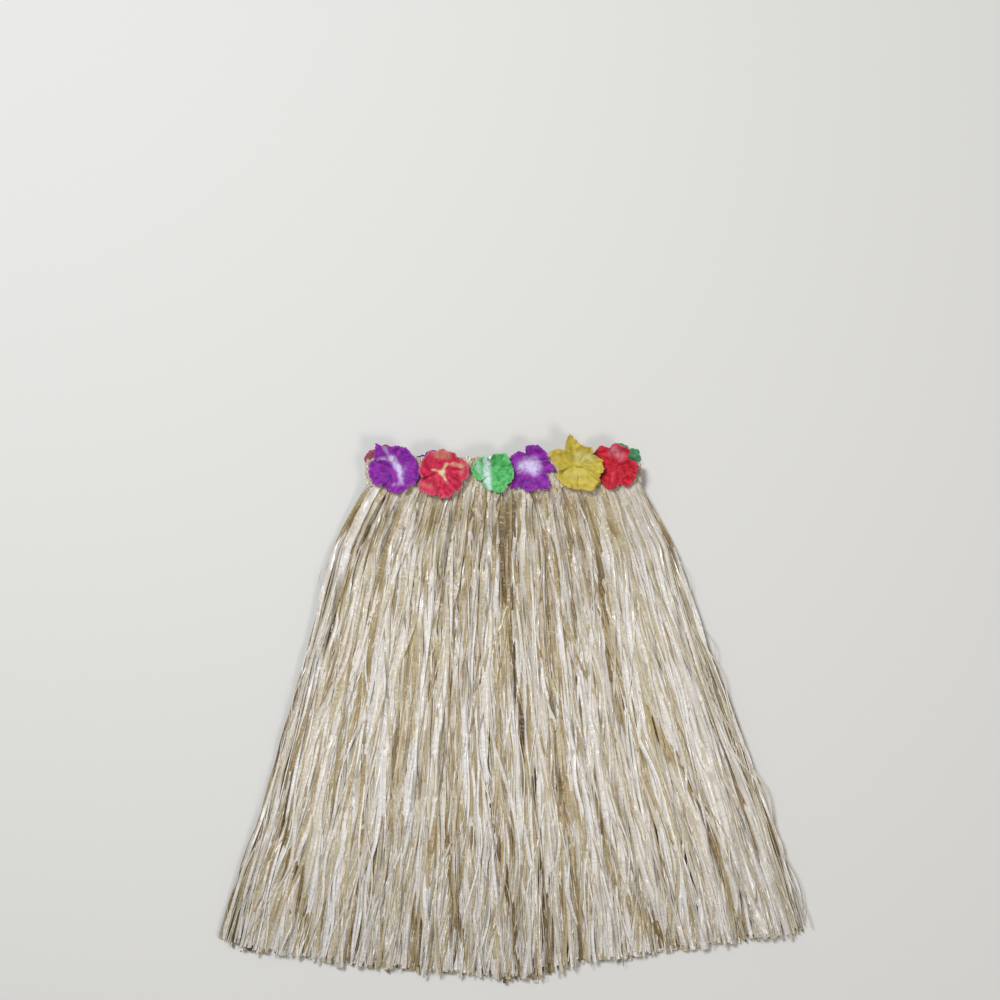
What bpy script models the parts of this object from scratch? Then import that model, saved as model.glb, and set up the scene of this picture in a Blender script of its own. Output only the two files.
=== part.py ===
"""A grass skirt, laid flat: raffia locks sewn to an elastic waistband with cloth flowers.

Run it with blender --background --python part.py, or from Blender's text editor.
Metres, +Z up. The skirt lies on its back on the plane z = 0, with the waist towards +Y and the
hem towards -Y. While it is modelled, x = 0 is the middle of the waist and y = 0 is the lower
edge of the waistband. The last step moves everything so that the origin is the middle of the
underside.
"""

import math
import random

import bmesh
import bpy
from mathutils import Vector

# Waistband: an elastic tape sewn into a loop, pressed flat into a front and a back run
BAND_HALF_WIDTH = 0.2115
BAND_HEIGHT = 0.034
BAND_WALL = 0.002
BAND_GATHER = 0.0004
BAND_STATION = 0.009
BAND_GATHER_LENGTH = 0.018
BAND_ARC_STEPS = 4
SEAM = 0.0003

# Heights of what is stacked at the waist
BACK_FLOWER_HEIGHT = 0.0080
BACK_BAND_Z = BACK_FLOWER_HEIGHT + BAND_GATHER + SEAM
HEADING_LEVEL = 0.0018
HEADING_Z = BACK_BAND_Z + BAND_WALL + SEAM
LAYER_STEP = 2 * HEADING_LEVEL + SEAM

# Headings: the sewn strip that the locks of one layer grow from
HEADING_HALF_WIDTH = 0.1995
HEADING_Y = 0.002
HEADING_DEPTH = 0.012
ROOT_SHARE = 0.72

# The fan of the locks. Distances are measured along a lock from its heading.
LOCK_LENGTH = 0.780
SIDE_SHORTER = 0.038
STRAY_SHORTER = 0.008
TIP_JITTER = 0.006
FAN = (
    # distance, half width of the spread grass
    (0.000, 0.1995),
    (0.008, 0.2000),
    (0.036, 0.2170),
    (0.120, 0.2580),
    (0.230, 0.2900),
    (0.340, 0.3250),
    (0.450, 0.3600),
    (0.560, 0.3950),
    (0.670, 0.4300),
    (0.780, 0.4620),
)
SWAY = 0.016
SWAY_DISTANCE = 0.450
SIDE_BULGE = 0.008
SIDE_BULGE_AT = 0.036
SIDE_BULGE_FROM = 0.80

# Levels: each layer has locks on two levels, and they step down from the waist to the floor
RAMP_START = 0.008
RAMP_END = 0.120
LEVEL_STEP = 0.0024
LEVEL_STEP_AT_HEM = 0.0017
LEVEL_GAP = 0.0005
TOP_LEVEL = 7
TOP_BUMP = 0.0030
STRAY_RISE = 0.0053
STRAY_WIDTH = (0.0055, 0.0085)
RIDGE_SHARE = 0.45
WANDER = 0.14

RINGS_PLAIN = (0.008, 0.120, 0.400)
RINGS_FLOOR = (0.008, 0.120, 0.340, 0.560)
RINGS_SHOWN = (0.008, 0.120, 0.230, 0.340, 0.450, 0.560, 0.670)

LAYERS = (
    # node, number of locks, rings of the lower level, rings of the upper level, seed
    ("grass_back_outer", 56, RINGS_FLOOR, RINGS_PLAIN, 11),
    ("grass_back_inner", 56, RINGS_PLAIN, RINGS_PLAIN, 12),
    ("grass_front_inner", 56, RINGS_PLAIN, RINGS_PLAIN, 13),
    ("grass_front_outer", 68, RINGS_SHOWN, RINGS_SHOWN, 14),
)

STRAYS = (
    # lock of the front outer layer, how far the tip drifts, how far the middle bows
    (1, -0.002, -0.012),
    (7, 0.030, 0.004),
    (13, -0.026, 0.000),
    (17, 0.034, -0.006),
    (23, 0.022, 0.006),
    (29, -0.030, -0.003),
    (35, 0.012, 0.009),
    (41, -0.034, 0.002),
    (45, 0.026, -0.005),
    (51, -0.020, 0.006),
    (57, 0.028, 0.003),
    (65, 0.000, 0.014),
)

# Flowers: one crumpled cloth rosette each
PETAL_WALL = 0.0011
FRONT_FLOWER_STEPS = 36
FRONT_FLOWER_RINGS = 3
BACK_FLOWER_STEPS = 20
BACK_FLOWER_RINGS = 2
FRONT_FLOWERS = (
    # node, x, y, depth of the notches, petals (direction, reach, half angle, point, lift)
    ("flower_purple_left", -0.1675, 0.0215, 0.62, (
        (134, 0.038, 28, 0.8, 0.013),
        (52, 0.034, 32, 0.3, 0.011),
        (-13, 0.037, 28, 0.2, 0.007),
        (-69, 0.041, 28, 0.2, 0.003),
        (-150, 0.042, 32, 0.2, 0.010),
    )),
    ("flower_coral", -0.0947, 0.0134, 0.66, (
        (146, 0.035, 34, 0.3, 0.011),
        (80, 0.031, 38, 0.1, 0.009),
        (8, 0.040, 32, 0.3, 0.012),
        (-62, 0.041, 36, 0.4, 0.004),
        (-134, 0.038, 34, 0.3, 0.008),
    )),
    ("flower_green", -0.0165, 0.0160, 0.66, (
        (150, 0.031, 26, 0.8, 0.015),
        (-168, 0.029, 24, 0.4, 0.007),
        (62, 0.025, 44, 0.1, 0.014),
        (0, 0.029, 34, 0.1, 0.009),
        (-84, 0.025, 28, 0.7, 0.003),
    )),
    ("flower_purple_right", 0.0425, 0.0200, 0.58, (
        (84, 0.034, 32, 0.1, 0.011),
        (-6, 0.035, 26, 0.8, 0.004),
        (-60, 0.042, 30, 0.3, 0.005),
        (-122, 0.040, 26, 0.6, 0.002),
        (172, 0.030, 34, 0.4, 0.008),
    )),
    ("flower_yellow", 0.1130, 0.0225, 0.74, (
        (157, 0.043, 20, 0.8, 0.015),
        (110, 0.043, 24, 1.0, 0.017),
        (52, 0.036, 32, 0.5, 0.016),
        (-16, 0.037, 36, 0.1, 0.016),
        (-70, 0.036, 36, 0.1, 0.004),
        (-132, 0.036, 34, 0.1, 0.007),
    )),
    ("flower_red", 0.1720, 0.0205, 0.62, (
        (140, 0.036, 30, 0.2, 0.003),
        (70, 0.031, 38, 0.2, 0.012),
        (-6, 0.032, 28, 0.7, 0.008),
        (-52, 0.036, 26, 0.2, 0.003),
        (-110, 0.032, 28, 0.2, 0.002),
    )),
)
BACK_FLOWERS = (
    # node, x, y, depth of the notches, petals (direction, reach, half angle, point, lift)
    ("flower_back_pink", -0.1800, 0.0240, 0.62, (
        (100, 0.034, 34, 0.3, 0.0),
        (172, 0.036, 34, 0.2, 0.0),
        (-112, 0.034, 36, 0.2, 0.0),
        (-40, 0.034, 34, 0.2, 0.0),
        (34, 0.030, 34, 0.2, 0.0),
    )),
    ("flower_back_violet", -0.1080, 0.0160, 0.62, (
        (90, 0.030, 36, 0.1, 0.0),
        (162, 0.032, 34, 0.2, 0.0),
        (-126, 0.033, 34, 0.2, 0.0),
        (-54, 0.033, 34, 0.2, 0.0),
        (18, 0.032, 34, 0.2, 0.0),
    )),
    ("flower_back_yellow", -0.0380, 0.0050, 0.62, (
        (90, 0.029, 36, 0.1, 0.0),
        (162, 0.031, 34, 0.2, 0.0),
        (-126, 0.033, 34, 0.2, 0.0),
        (-54, 0.033, 34, 0.2, 0.0),
        (18, 0.031, 34, 0.2, 0.0),
    )),
    ("flower_back_coral", 0.0330, 0.0080, 0.62, (
        (90, 0.031, 36, 0.1, 0.0),
        (162, 0.031, 34, 0.2, 0.0),
        (-126, 0.034, 34, 0.2, 0.0),
        (-54, 0.033, 34, 0.2, 0.0),
        (18, 0.032, 34, 0.2, 0.0),
    )),
    ("flower_back_purple", 0.1050, 0.0130, 0.62, (
        (90, 0.030, 36, 0.1, 0.0),
        (162, 0.032, 34, 0.2, 0.0),
        (-126, 0.033, 34, 0.2, 0.0),
        (-54, 0.033, 34, 0.2, 0.0),
        (18, 0.031, 34, 0.2, 0.0),
    )),
    ("flower_back_green", 0.1790, 0.0230, 0.62, (
        (86, 0.037, 34, 0.2, 0.0),
        (152, 0.032, 34, 0.2, 0.0),
        (-126, 0.033, 34, 0.2, 0.0),
        (-54, 0.033, 34, 0.2, 0.0),
        (14, 0.034, 34, 0.2, 0.0),
    )),
)
PETAL_CUP = 0.0030
PETAL_RUFFLE = 0.0014
RUFFLE_WAVES = 11
SEAT_RADIUS = 0.007

STRAW = (0.72, 0.65, 0.50)
TAPE = (0.66, 0.58, 0.47)
FLOWER_COLOURS = {
    "purple": (0.33, 0.04, 0.50),
    "violet": (0.16, 0.05, 0.42),
    "coral": (0.75, 0.05, 0.13),
    "pink": (0.70, 0.12, 0.20),
    "green": (0.13, 0.55, 0.20),
    "yellow": (0.70, 0.56, 0.10),
    "red": (0.70, 0.02, 0.06),
}

UP = Vector((0, 0, 1))


def finish(name, colour, roughness):
    """A plain coloured finish, shared by every piece that asks for the same name."""
    found = bpy.data.materials.get(name)
    if found:
        return found
    made = bpy.data.materials.new(name)
    made.use_nodes = True
    shader = made.node_tree.nodes["Principled BSDF"]
    shader.inputs["Base Color"].default_value = (*colour, 1)
    shader.inputs["Roughness"].default_value = roughness
    shader.inputs["Metallic"].default_value = 0
    return made


def node_object(name, bm, material, owner, collection):
    """Turn a finished bmesh into one named object under the skirt's empty."""
    mesh = bpy.data.meshes.new(name)
    bm.to_mesh(mesh)
    bm.free()
    mesh.materials.append(material)
    made = bpy.data.objects.new(name, mesh)
    made.parent = owner
    collection.objects.link(made)
    return made


def solidify(thing, thickness):
    """Give an open cloth surface its wall, growing along its normals."""
    wall = thing.modifiers.new("wall", "SOLIDIFY")
    wall.thickness = thickness
    wall.offset = 1
    wall.use_even_offset = False


def between(low, high, share):
    """Linear step from low to high."""
    return low + (high - low) * min(1, max(0, share))


def band_run(name, front, owner, collection):
    """One run of the waistband: flat across, with ends that curl round to meet the other run."""
    back_face = BACK_BAND_Z
    front_face = HEADING_Z + len(LAYERS) * LAYER_STEP + BAND_WALL
    middle = (back_face + front_face) / 2
    bend = (front_face - back_face) / 2 - BAND_WALL
    flat = BAND_HALF_WIDTH - bend - BAND_WALL
    side = 1 if front else -1
    start = SEAM / 2 / bend
    line = []
    for step in range(BAND_ARC_STEPS):
        turn = start + (math.pi / 2 - start) * step / BAND_ARC_STEPS
        line.append((-flat - bend * math.cos(turn), side * bend * math.sin(turn)))
    stations = round(2 * flat / BAND_STATION)
    for step in range(stations + 1):
        x = -flat + 2 * flat * step / stations
        crest = math.sin(2 * math.pi * (x + flat) / BAND_GATHER_LENGTH + math.pi / 4)
        inside_gap = BAND_GATHER * (1 + crest) / 2 * min(1, (flat - abs(x)) / BAND_STATION)
        line.append((x, side * (bend + inside_gap)))
    line += [(-x, z) for x, z in reversed(line[:BAND_ARC_STEPS])]

    bm = bmesh.new()
    points = [bm.verts.new((x, 0, middle + z)) for x, z in line]
    edges = [bm.edges.new(pair) for pair in zip(points, points[1:])]
    made = bmesh.ops.extrude_edge_only(bm, edges=edges)["geom"]
    upper = [v for v in made if isinstance(v, bmesh.types.BMVert)]
    bmesh.ops.translate(bm, verts=upper, vec=(0, BAND_HEIGHT, 0))
    bmesh.ops.recalc_face_normals(bm, faces=bm.faces)
    outwards = side * UP
    centre_face = min(bm.faces, key=lambda f: abs(f.calc_center_median().x))
    if centre_face.normal.dot(outwards) < 0:
        bmesh.ops.reverse_faces(bm, faces=bm.faces)
    made = node_object(name, bm, finish("elastic tape", TAPE, 0.8), owner, collection)
    solidify(made, BAND_WALL)


def band_front_face():
    """Height of the highest point of the front run."""
    return HEADING_Z + len(LAYERS) * LAYER_STEP + BAND_WALL + BAND_GATHER


def fan_half_width(distance):
    """Half width of the spread grass at a distance along the locks."""
    for (near, low), (far, high) in zip(FAN, FAN[1:]):
        if distance <= far:
            return between(low, high, (distance - near) / (far - near))
    return FAN[-1][1]


def fan_place(across, distance):
    """Place in plan of the line that runs down the fan, with across from -1 to 1."""
    sway = SWAY * min(1, distance / SWAY_DISTANCE)
    beyond = max(0, abs(across) - SIDE_BULGE_FROM) / (1 - SIDE_BULGE_FROM)
    rising = (distance - RAMP_START) / (SIDE_BULGE_AT - RAMP_START)
    falling = (RAMP_END - distance) / (RAMP_END - SIDE_BULGE_AT)
    bulge = SIDE_BULGE * beyond * max(0, min(rising, falling)) * math.copysign(1, across)
    x = across * fan_half_width(distance) + sway + bulge
    out = x - across * HEADING_HALF_WIDTH
    return Vector((x, HEADING_Y - math.sqrt(max(0, distance**2 - out**2)), 0))


def level_step(distance):
    """Height from one level to the next, which shrinks towards the hem."""
    share = (distance - RAMP_END) / (LOCK_LENGTH - RAMP_END)
    return between(LEVEL_STEP, LEVEL_STEP_AT_HEM, share)


def level_height(level, distance):
    """Height of a level's underside: stacked at the waist, down on the floor after the ramp."""
    root = HEADING_Z + (level // 2) * LAYER_STEP + (level % 2) * HEADING_LEVEL
    share = (distance - RAMP_START) / (RAMP_END - RAMP_START)
    return between(root, level * level_step(distance), share)


class Lock:
    """One lock of raffia: a flat four-sided strand with a low ridge on its upper side."""

    def __init__(self, number, count, layer, stray, chance):
        self.across = -1 + (2 * number + 1) / count
        self.level = 2 * layer + number % 2
        self.neighbours = count / 2
        self.stray = stray
        side_loss = SIDE_SHORTER * abs(self.across) ** 1.2
        self.length = LOCK_LENGTH - side_loss - chance.uniform(0, 2 * TIP_JITTER)
        if stray:
            self.length -= STRAY_SHORTER
        self.fill = chance.uniform(0.46, 0.66)
        self.wave = chance.uniform(0.30, 0.60)
        self.phase = chance.uniform(0, 2 * math.pi)
        self.lean = chance.uniform(-0.2, 0.2)
        self.slant = chance.uniform(-0.004, 0.004)
        self.bumps = [chance.uniform(0, 1) for _ in RINGS_SHOWN]
        self.own_width = chance.uniform(*STRAY_WIDTH)

    def spacing(self, distance):
        """Distance to the next lock on the same level."""
        return 2 * fan_half_width(distance) / self.neighbours

    def width(self, distance):
        """Width of the lock, which narrows at its cut end."""
        wide = self.own_width if self.stray else self.fill * self.spacing(distance)
        root = ROOT_SHARE * self.spacing(0) / 2
        wide = between(root, wide, (distance - RAMP_START) / (RAMP_END - RAMP_START))
        return wide * (0.8 if distance >= self.length else 1)

    def drift(self, distance):
        """Sideways wander of the lock from its line in the fan."""
        if distance <= RAMP_START:
            return 0
        if self.stray:
            tip, bow = self.stray
            share = (distance - RAMP_START) / (self.length - RAMP_START)
            return tip * share**1.5 + bow * math.sin(math.pi * share)
        free = WANDER * self.spacing(distance) * between(0, 1, distance / RAMP_END)
        return free * math.sin(2 * math.pi * distance / self.wave + self.phase)

    def lift(self, ring, distance):
        """Rise of the topmost locks above their level."""
        if self.level < TOP_LEVEL or distance <= RAMP_START:
            return 0
        near_floor = level_step(distance) / LEVEL_STEP
        if self.stray:
            return STRAY_RISE * near_floor
        return TOP_BUMP * near_floor * self.bumps[ring % len(self.bumps)]

    def ring(self, index, distance):
        """Four corners of the lock at a distance: two below, then two above."""
        step = 0.004
        here = fan_place(self.across, distance)
        along = (fan_place(self.across, distance + step) - here).normalized()
        if distance <= RAMP_START:
            along = Vector((0, -1, 0))
        sideways = Vector((-along.y, along.x, 0))
        if distance >= self.length:
            sideways = (sideways + along * self.slant / self.width(distance)).normalized()
        here += sideways * self.drift(distance)
        here.z = level_height(self.level, distance) + self.lift(index, distance)
        half = sideways * self.width(distance) / 2
        leaning = sideways * self.width(distance) * self.lean
        thick = UP * (level_step(distance) - LEVEL_GAP)
        if distance <= RAMP_START:
            thick = UP * (HEADING_LEVEL - SEAM)
        ridge = half * RIDGE_SHARE
        return [here - half, here + half, here + leaning + ridge + thick, here + leaning - ridge + thick]


def heading(bm, layer, count):
    """The sewn strip of one layer. Returns the face on its lower edge that each lock grows from."""
    pitch = 2 * HEADING_HALF_WIDTH / count
    low = HEADING_Z + layer * LAYER_STEP
    xs = [-HEADING_HALF_WIDTH]
    for number in range(count):
        middle = -HEADING_HALF_WIDTH + pitch * (number + 0.5)
        xs += [middle - pitch * ROOT_SHARE / 2, middle + pitch * ROOT_SHARE / 2]
    xs.append(HEADING_HALF_WIDTH)
    points = [bm.verts.new((x, HEADING_Y, low)) for x in xs]
    edges = [bm.edges.new(pair) for pair in zip(points, points[1:])]
    for _ in range(2):
        made = bmesh.ops.extrude_edge_only(bm, edges=edges)["geom"]
        upper = [v for v in made if isinstance(v, bmesh.types.BMVert)]
        edges = [e for e in made if isinstance(e, bmesh.types.BMEdge) and all(v in upper for v in e.verts)]
        bmesh.ops.translate(bm, verts=upper, vec=(0, 0, HEADING_LEVEL))
    made = bmesh.ops.extrude_face_region(bm, geom=bm.faces[:], use_keep_orig=True)["geom"]
    far = [v for v in made if isinstance(v, bmesh.types.BMVert)]
    bmesh.ops.translate(bm, verts=far, vec=(0, HEADING_DEPTH, 0))
    bmesh.ops.recalc_face_normals(bm, faces=bm.faces)

    roots = {}
    for face in bm.faces:
        centre = face.calc_center_median()
        if face.normal.y > -0.9:
            continue
        number = int((centre.x + HEADING_HALF_WIDTH) / pitch)
        off_middle = centre.x + HEADING_HALF_WIDTH - pitch * (number + 0.5)
        upper = centre.z > low + HEADING_LEVEL
        if abs(off_middle) < pitch * 0.1 and upper == bool(number % 2):
            roots[number] = face
    return roots


def grass_layer(layer, owner, collection):
    """One layer of raffia: the heading, and every lock extruded from it ring by ring."""
    node, count, low_rings, high_rings, seed = LAYERS[layer]
    chance = random.Random(seed)
    strays = {number: (tip, bow) for number, tip, bow in STRAYS} if layer == len(LAYERS) - 1 else {}
    bm = bmesh.new()
    mark = bm.faces.layers.int.new("lock")
    roots = heading(bm, layer, count)
    locks, corners, growing = {}, {}, []
    for number in range(count):
        face = roots[number]
        face[mark] = number
        locks[number] = Lock(number, count, layer, strays.get(number), chance)
        found = [v.co.copy() for v in face.verts]
        found.sort(key=lambda p: (round(p.z, 5), p.x))
        corners[number] = [found[0], found[1], found[3], found[2]]
        growing.append(face)

    plans = {}
    for number, lock in locks.items():
        rings = list(high_rings if number % 2 else low_rings)
        if abs(lock.across) > SIDE_BULGE_FROM:
            rings = sorted([*rings, SIDE_BULGE_AT])
        rings.append(lock.length)
        plans[number] = [lock.ring(index, distance) for index, distance in enumerate(rings)]
    for step in range(max(len(plan) for plan in plans.values())):
        growing = [face for face in growing if step < len(plans[face[mark]])]
        growing = bmesh.ops.extrude_discrete_faces(bm, faces=growing)["faces"]
        for face in growing:
            number = face[mark]
            nearest = {}
            for vert in face.verts:
                nearest[vert] = min(range(4), key=lambda k: (corners[number][k] - vert.co).length)
            corners[number] = plans[number][step]
            for vert, corner in nearest.items():
                vert.co = corners[number][corner]
    bmesh.ops.recalc_face_normals(bm, faces=bm.faces)
    node_object(node, bm, finish("raffia", STRAW, 0.45), owner, collection)


def petal_weight(petal, direction):
    """How far round from a petal's middle a direction is, with 1 at its edge."""
    turn = (direction - petal[0] + 180) % 360 - 180
    return abs(turn) / petal[2]


def flower_outline(petals, notch, direction):
    """Reach of the flower in a direction: the longest petal there, or the notch between two."""
    shallow = notch * sum(petal[1] for petal in petals) / len(petals)
    reach = shallow
    for petal in petals:
        away = petal_weight(petal, direction)
        if away < 1:
            rounded = (1 - away**2.6) ** 0.5
            pointed = 1 - away
            share = between(rounded, pointed, petal[3] * 0.6)
            reach = max(reach, shallow + (petal[1] - shallow) * share)
    return reach


def flower_lift(petals, direction):
    """Lift of the rim in a direction, blended between the petals nearest to it."""
    total, lift = 0, 0
    for petal in petals:
        weight = math.exp(-2.5 * petal_weight(petal, direction) ** 2) + 1e-6
        total += weight
        lift += weight * petal[4]
    return lift / total


def rosette(steps, rings):
    """A flat disc of cloth in rings and sectors, one metre in radius, to be shaped."""
    bm = bmesh.new()
    points = [bm.verts.new((ring / rings, 0, 0)) for ring in range(rings + 1)]
    edges = [bm.edges.new(pair) for pair in zip(points, points[1:])]
    bmesh.ops.spin(bm, geom=points + edges, axis=(0, 0, 1), cent=(0, 0, 0), angle=2 * math.pi, steps=steps)
    bmesh.ops.remove_doubles(bm, verts=bm.verts, dist=1e-5)
    bmesh.ops.recalc_face_normals(bm, faces=bm.faces)
    if next(iter(bm.faces)).normal.z < 0:
        bmesh.ops.reverse_faces(bm, faces=bm.faces)
    return bm


def front_flower(row, owner, collection):
    """A flower on the front run: seated on the tape, with cupped petals that rise to a ruffled rim."""
    node, x, y, notch, petals = row
    bm = rosette(FRONT_FLOWER_STEPS, FRONT_FLOWER_RINGS)
    seat = band_front_face() + SEAM
    for vert in bm.verts:
        out = math.hypot(vert.co.x, vert.co.y)
        angle = math.atan2(vert.co.y, vert.co.x)
        direction = math.degrees(angle)
        reach = flower_outline(petals, notch, direction)
        edge = min(1, min(petal_weight(petal, direction) for petal in petals))
        radius = out * reach
        rise = max(0, radius - SEAT_RADIUS) / (reach - SEAT_RADIUS)
        ruffle = PETAL_RUFFLE * (1 + math.sin(RUFFLE_WAVES * angle + x * 90)) * rise**2
        lift = flower_lift(petals, direction) * rise**1.2 + PETAL_CUP * edge**2 * rise**2 + ruffle
        vert.co = (x + radius * math.cos(angle), y + radius * math.sin(angle), seat + lift)
    made = node_object(node, bm, flower_finish(node), owner, collection)
    solidify(made, PETAL_WALL)


def back_flower(row, owner, collection):
    """A flower on the back run: pressed flat between the tape and the floor."""
    node, x, y, notch, petals = row
    bm = rosette(BACK_FLOWER_STEPS, BACK_FLOWER_RINGS)
    for vert in bm.verts:
        out = math.hypot(vert.co.x, vert.co.y)
        angle = math.atan2(vert.co.y, vert.co.x)
        radius = out * flower_outline(petals, notch, math.degrees(angle))
        height = (BACK_FLOWER_HEIGHT - PETAL_WALL) * max(0, 1 - 2 * out) ** 1.5
        vert.co = (x + radius * math.cos(angle), y + radius * math.sin(angle), height)
    made = node_object(node, bm, flower_finish(node), owner, collection)
    solidify(made, PETAL_WALL)


def flower_finish(node):
    """The dyed cloth of a flower, by the colour in its name."""
    colour = next(word for word in FLOWER_COLOURS if word in node)
    return finish(colour + " petal cloth", FLOWER_COLOURS[colour], 0.75)


def centre_on_origin(owner, collection):
    """Move the skirt so that the middle of its underside is the origin."""
    bpy.context.view_layer.update()
    graph = bpy.context.evaluated_depsgraph_get()
    corners = []
    for made in collection.objects:
        if made.type == "MESH":
            solid = made.evaluated_get(graph)
            corners += [solid.matrix_world @ Vector(corner) for corner in solid.bound_box]
    for axis in (0, 1):
        places = [corner[axis] for corner in corners]
        owner.location[axis] = -(min(places) + max(places)) / 2
    bpy.context.view_layer.update()


def main():
    for old in list(bpy.data.objects):
        bpy.data.objects.remove(old)
    collection = bpy.data.collections.new("grass_skirt")
    bpy.context.scene.collection.children.link(collection)
    owner = bpy.data.objects.new("skirt", None)
    collection.objects.link(owner)

    band_run("waistband_front", True, owner, collection)
    band_run("waistband_back", False, owner, collection)
    for layer in range(len(LAYERS)):
        grass_layer(layer, owner, collection)
    for row in FRONT_FLOWERS:
        front_flower(row, owner, collection)
    for row in BACK_FLOWERS:
        back_flower(row, owner, collection)
    centre_on_origin(owner, collection)


main()
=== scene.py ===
"""Dressed scene of a grass skirt that lies flat: raffia ribbons, a gathered waistband, cloth flowers.

Metres, +Z up, in the frame of the CAD model. The waist is towards +Y and the hem towards -Y.
"""

from __future__ import annotations

import logging
import math
from dataclasses import dataclass, field
from enum import Enum

import bmesh
import bpy
import numpy as np
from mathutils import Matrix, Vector, noise

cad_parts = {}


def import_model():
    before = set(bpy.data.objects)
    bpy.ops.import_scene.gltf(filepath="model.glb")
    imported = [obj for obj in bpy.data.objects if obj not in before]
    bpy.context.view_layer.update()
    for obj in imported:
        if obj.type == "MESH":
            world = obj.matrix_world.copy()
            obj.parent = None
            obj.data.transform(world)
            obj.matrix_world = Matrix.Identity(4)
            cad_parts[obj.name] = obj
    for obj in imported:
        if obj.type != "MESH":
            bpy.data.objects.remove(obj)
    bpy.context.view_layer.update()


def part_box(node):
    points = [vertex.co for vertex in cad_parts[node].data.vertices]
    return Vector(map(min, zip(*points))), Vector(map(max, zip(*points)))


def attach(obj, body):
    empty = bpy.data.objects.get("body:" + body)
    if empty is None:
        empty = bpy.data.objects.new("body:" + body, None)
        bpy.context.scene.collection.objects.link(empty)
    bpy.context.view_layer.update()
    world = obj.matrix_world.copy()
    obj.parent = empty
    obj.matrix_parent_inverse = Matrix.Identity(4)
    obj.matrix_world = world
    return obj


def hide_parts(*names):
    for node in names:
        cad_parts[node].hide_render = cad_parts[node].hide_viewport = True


LOG = logging.getLogger("grass_skirt")
BODY = "root"
MM = 0.001

# The photograph: real size of a pixel, and the pixels of the view's middle and of the waist
PIXEL = 1.544 * MM
VIEW_MIDDLE_PX = (500.0, 500.0)
WAIST_MIDDLE_PX = (503.5, 479.0)
PHOTO_SIDE_PX = 1000
CAMERA_HEIGHT = 3.0
SENSOR = 0.036

# Heights and lengths that the grass shares with the solids
BAND_WALL = 2.0 * MM
LAYER_STEP = 3.9 * MM
HEADING_HALF_WIDTH = 199.5 * MM
HEADING_Y = 2.0 * MM
RAMP_START = 8.0 * MM
RAMP_END = 120.0 * MM
LOCK_LENGTH = 780.0 * MM
SIDE_SHORTER = 38.0 * MM
FLOOR_CLEAR = 0.4 * MM
SEAM = 0.3 * MM
HEADING_CLEAR = 0.6 * MM
LOWEST = 1.2 * MM
FAN = (
    # distance along the grass, half width of the spread fan, both in mm
    (0, 199.5),
    (8, 203),
    (20, 211),
    (36, 220),
    (80, 240),
    (120, 259),
    (230, 290),
    (340, 325),
    (450, 360),
    (560, 395),
    (670, 430),
    (800, 466),
)
HEM = (
    # place across the fan from -1 to 1, what the uneven cut adds to the length in mm
    (-1.0, 7),
    (-0.9, 10),
    (-0.75, 3),
    (-0.5, -4),
    (-0.3, -12),
    (-0.1, -12),
    (0.03, -6),
    (0.12, -18),
    (0.23, -28),
    (0.4, -20),
    (0.65, -16),
    (0.8, -7),
    (1.0, 7),
)
SWAY = 16.0 * MM
SWAY_DISTANCE = 560.0 * MM

# How the ribbons hang: lengths of the grass over which each thing grows or fades
START_ON_TAPE = 0.7  # share of the tape's height that they reach up behind it
FREE_LENGTH = 100.0 * MM
CLUMP_LENGTH = 60.0 * MM
SINK_LENGTH = 30.0 * MM
ROUGH_LENGTH = 30.0 * MM
WIDE_LENGTH = 180.0 * MM
LOOP_LENGTH = 35.0 * MM
SLANT_START = 120.0 * MM
WANDER_WAVES = ((1.0, 0.60), (2.3, 0.38), (4.7, 0.24))  # waves along a ribbon, share of its wander
CLUMP_DRIFT = 400.0 * MM
CLUMPS = (
    # waves over half the fan, phase, drift down the grass, sideways pull in mm
    (31.0, 0.4, 2.1, 3.2),
    (53.0, 2.2, -3.4, 2.6),
    (83.0, 4.1, 4.6, 1.8),
    (127.0, 1.3, -6.0, 1.2),
)
# Places across the fan from which ribbons keep in, are slim, or may hang loose in a loop
KEPT_IN, SLIM, LOOSE = 0.86, 0.93, 0.955
LOOPED_SHARE = 0.7
SIDE_EDGE, SIDE_UNEVEN, SIDE_SEED = 1.006, 0.014, 50
PARTING_ACROSS, PARTING_WIDTH, PARTING_LENGTH = -0.014, 0.026, 200.0 * MM
# Height of one level of the pile where the grass has spread, and at the hem
PILE_STEP = (2.4 * MM, 1.7 * MM)
SINK_ALONG = ((0.05, 0.3, LOCK_LENGTH), (2.0, 1.1, 1.2))
NARROW_ALONG = ((0.25, LOCK_LENGTH), (1.0, 0.70))
SLOPE_STEP = 0.006
MOST_ROLL = 1.35
ROUGH = 0.10 * MM

Range = tuple[float, float, float, float]  # two values that come in, and what each becomes
Grain = tuple[float, float, float]  # width across a ribbon, length along it, detail of the noise
SCALE_AND_ADD = {"operation": "MULTIPLY_ADD"}
MULTIPLY = {"operation": "MULTIPLY"}
BLEND = {"data_type": "RGBA"}
BLEND_MULTIPLY = {"data_type": "RGBA", "blend_type": "MULTIPLY"}
FACTOR, UNDER, OVER, BLENDED = 0, 6, 7, 2  # sockets of a Mix node that blends colours
WAVES_A_METRE = 3.18  # bands that a Wave texture of scale 1 draws


def linear(hex_colour: str) -> tuple[float, float, float, float]:
    """Turn an sRGB hex colour into the linear colour that a shader takes.

    Args:
        hex_colour: Colour as "#RRGGBB".

    Returns:
        Linear red, green, blue and an alpha of 1.
    """
    parts = [int(hex_colour[place : place + 2], 16) / 255 for place in (1, 3, 5)]
    made = [c / 12.92 if c <= 0.04045 else ((c + 0.055) / 1.055) ** 2.4 for c in parts]
    return (made[0], made[1], made[2], 1.0)


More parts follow.
